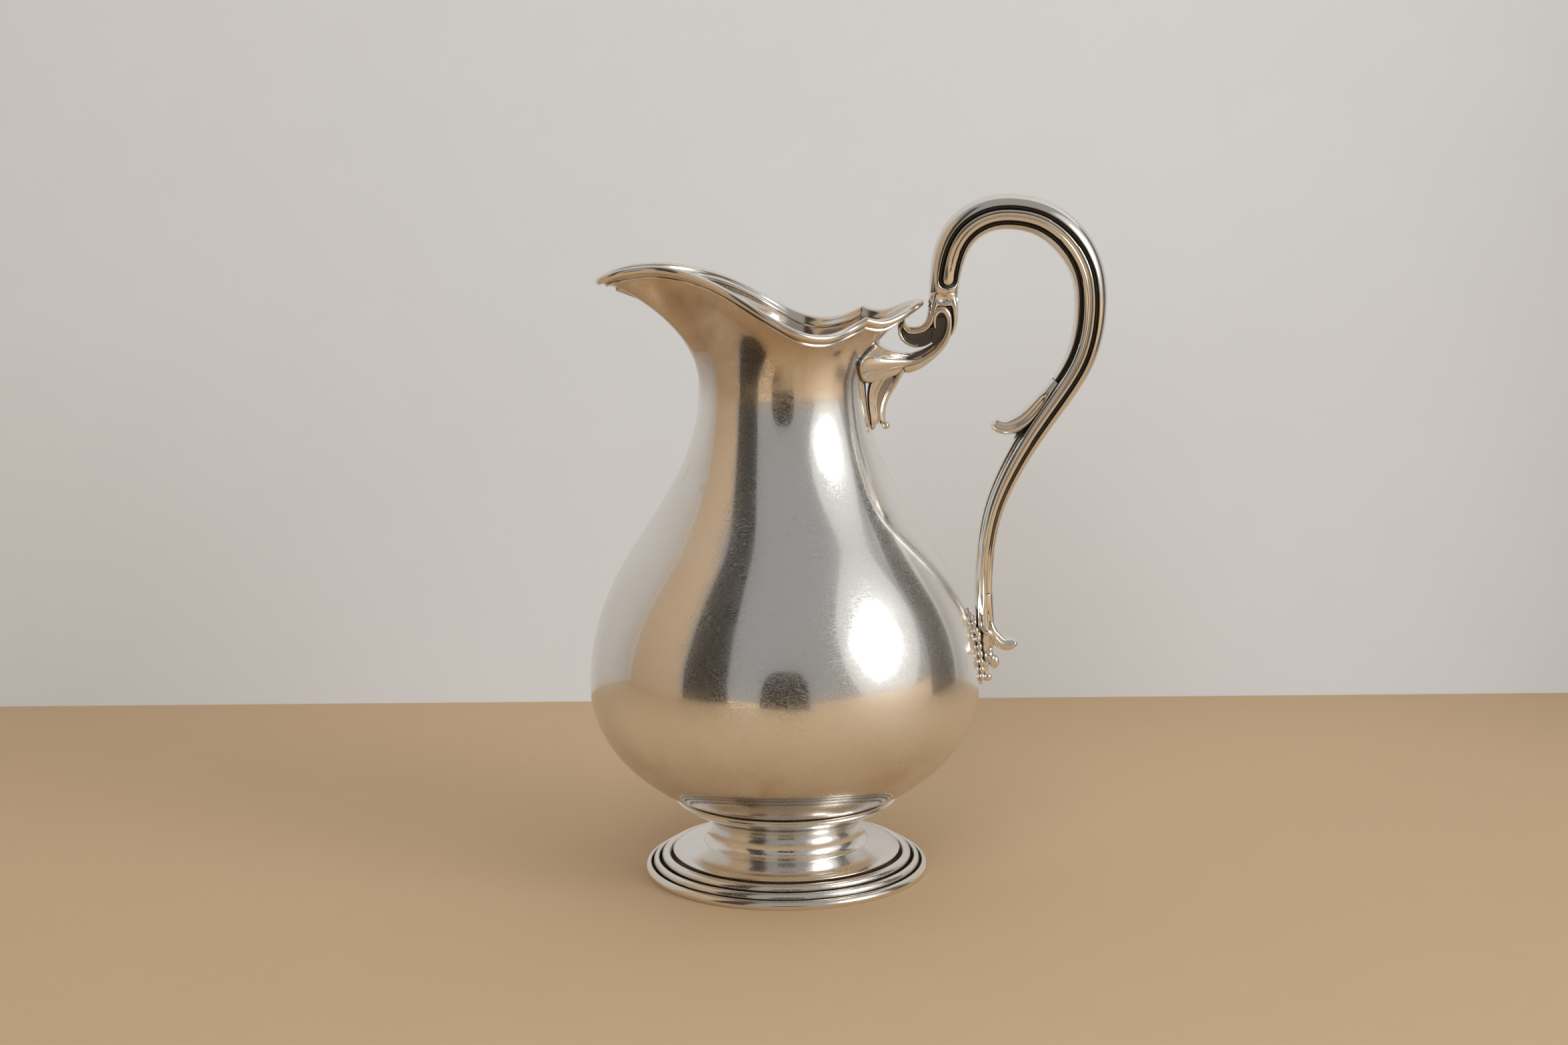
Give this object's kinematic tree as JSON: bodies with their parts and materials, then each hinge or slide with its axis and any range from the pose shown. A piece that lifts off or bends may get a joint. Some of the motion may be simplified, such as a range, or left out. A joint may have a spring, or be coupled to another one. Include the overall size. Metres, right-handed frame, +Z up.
{
  "type": "silver water pitcher",
  "caption": "Pear-bodied silver-plated water pitcher with a drawn-out spout, moulded rim, stepped round foot and high fluted scroll handle.",
  "frame": {"origin": "on the table plane, under the middle of the pitcher's overall length and width", "axes": "+Z up; the spout points to -X and the handle to +X; the front and back are mirror images in the XZ plane"},
  "size_m": [0.1889, 0.1432, 0.2495],
  "materials": {
    "polished_silver": "silver plate over brass, hand polished to a mirror with fine swirl scratches and faint tarnish",
    "cast_silver": "cast and silver plated, polished on its high places and dark with old tarnish in its grooves",
    "worn_edge_silver": "silver plate worn thin on the edges, so that warm brass shows through"
  },
  "bodies": {
    "root": {"body_shell": "polished_silver", "rim_roll": "worn_edge_silver", "rim_bead": "polished_silver", "foot_collar": "polished_silver", "foot_stem": "polished_silver", "foot_dome": "polished_silver", "foot_step_inner": "polished_silver", "foot_step_middle": "polished_silver", "foot_base_wire": "worn_edge_silver", "handle_grip": "cast_silver", "thumb_spur": "cast_silver", "scroll_volute": "cast_silver", "scroll_stalk": "cast_silver", "neck_socket": "cast_silver", "drop_leaf": "cast_silver", "drop_bud": "worn_edge_silver", "lower_socket": "cast_silver", "lower_spur": "worn_edge_silver", "lower_plate": "cast_silver", "socket_leaf_front": "worn_edge_silver", "socket_leaf_back": "worn_edge_silver", "berry_upper_front": "cast_silver", "berry_upper_back": "cast_silver", "berry_middle": "cast_silver", "berry_stem": "cast_silver", "berry_tip": "worn_edge_silver"}
  },
  "joints": []
}
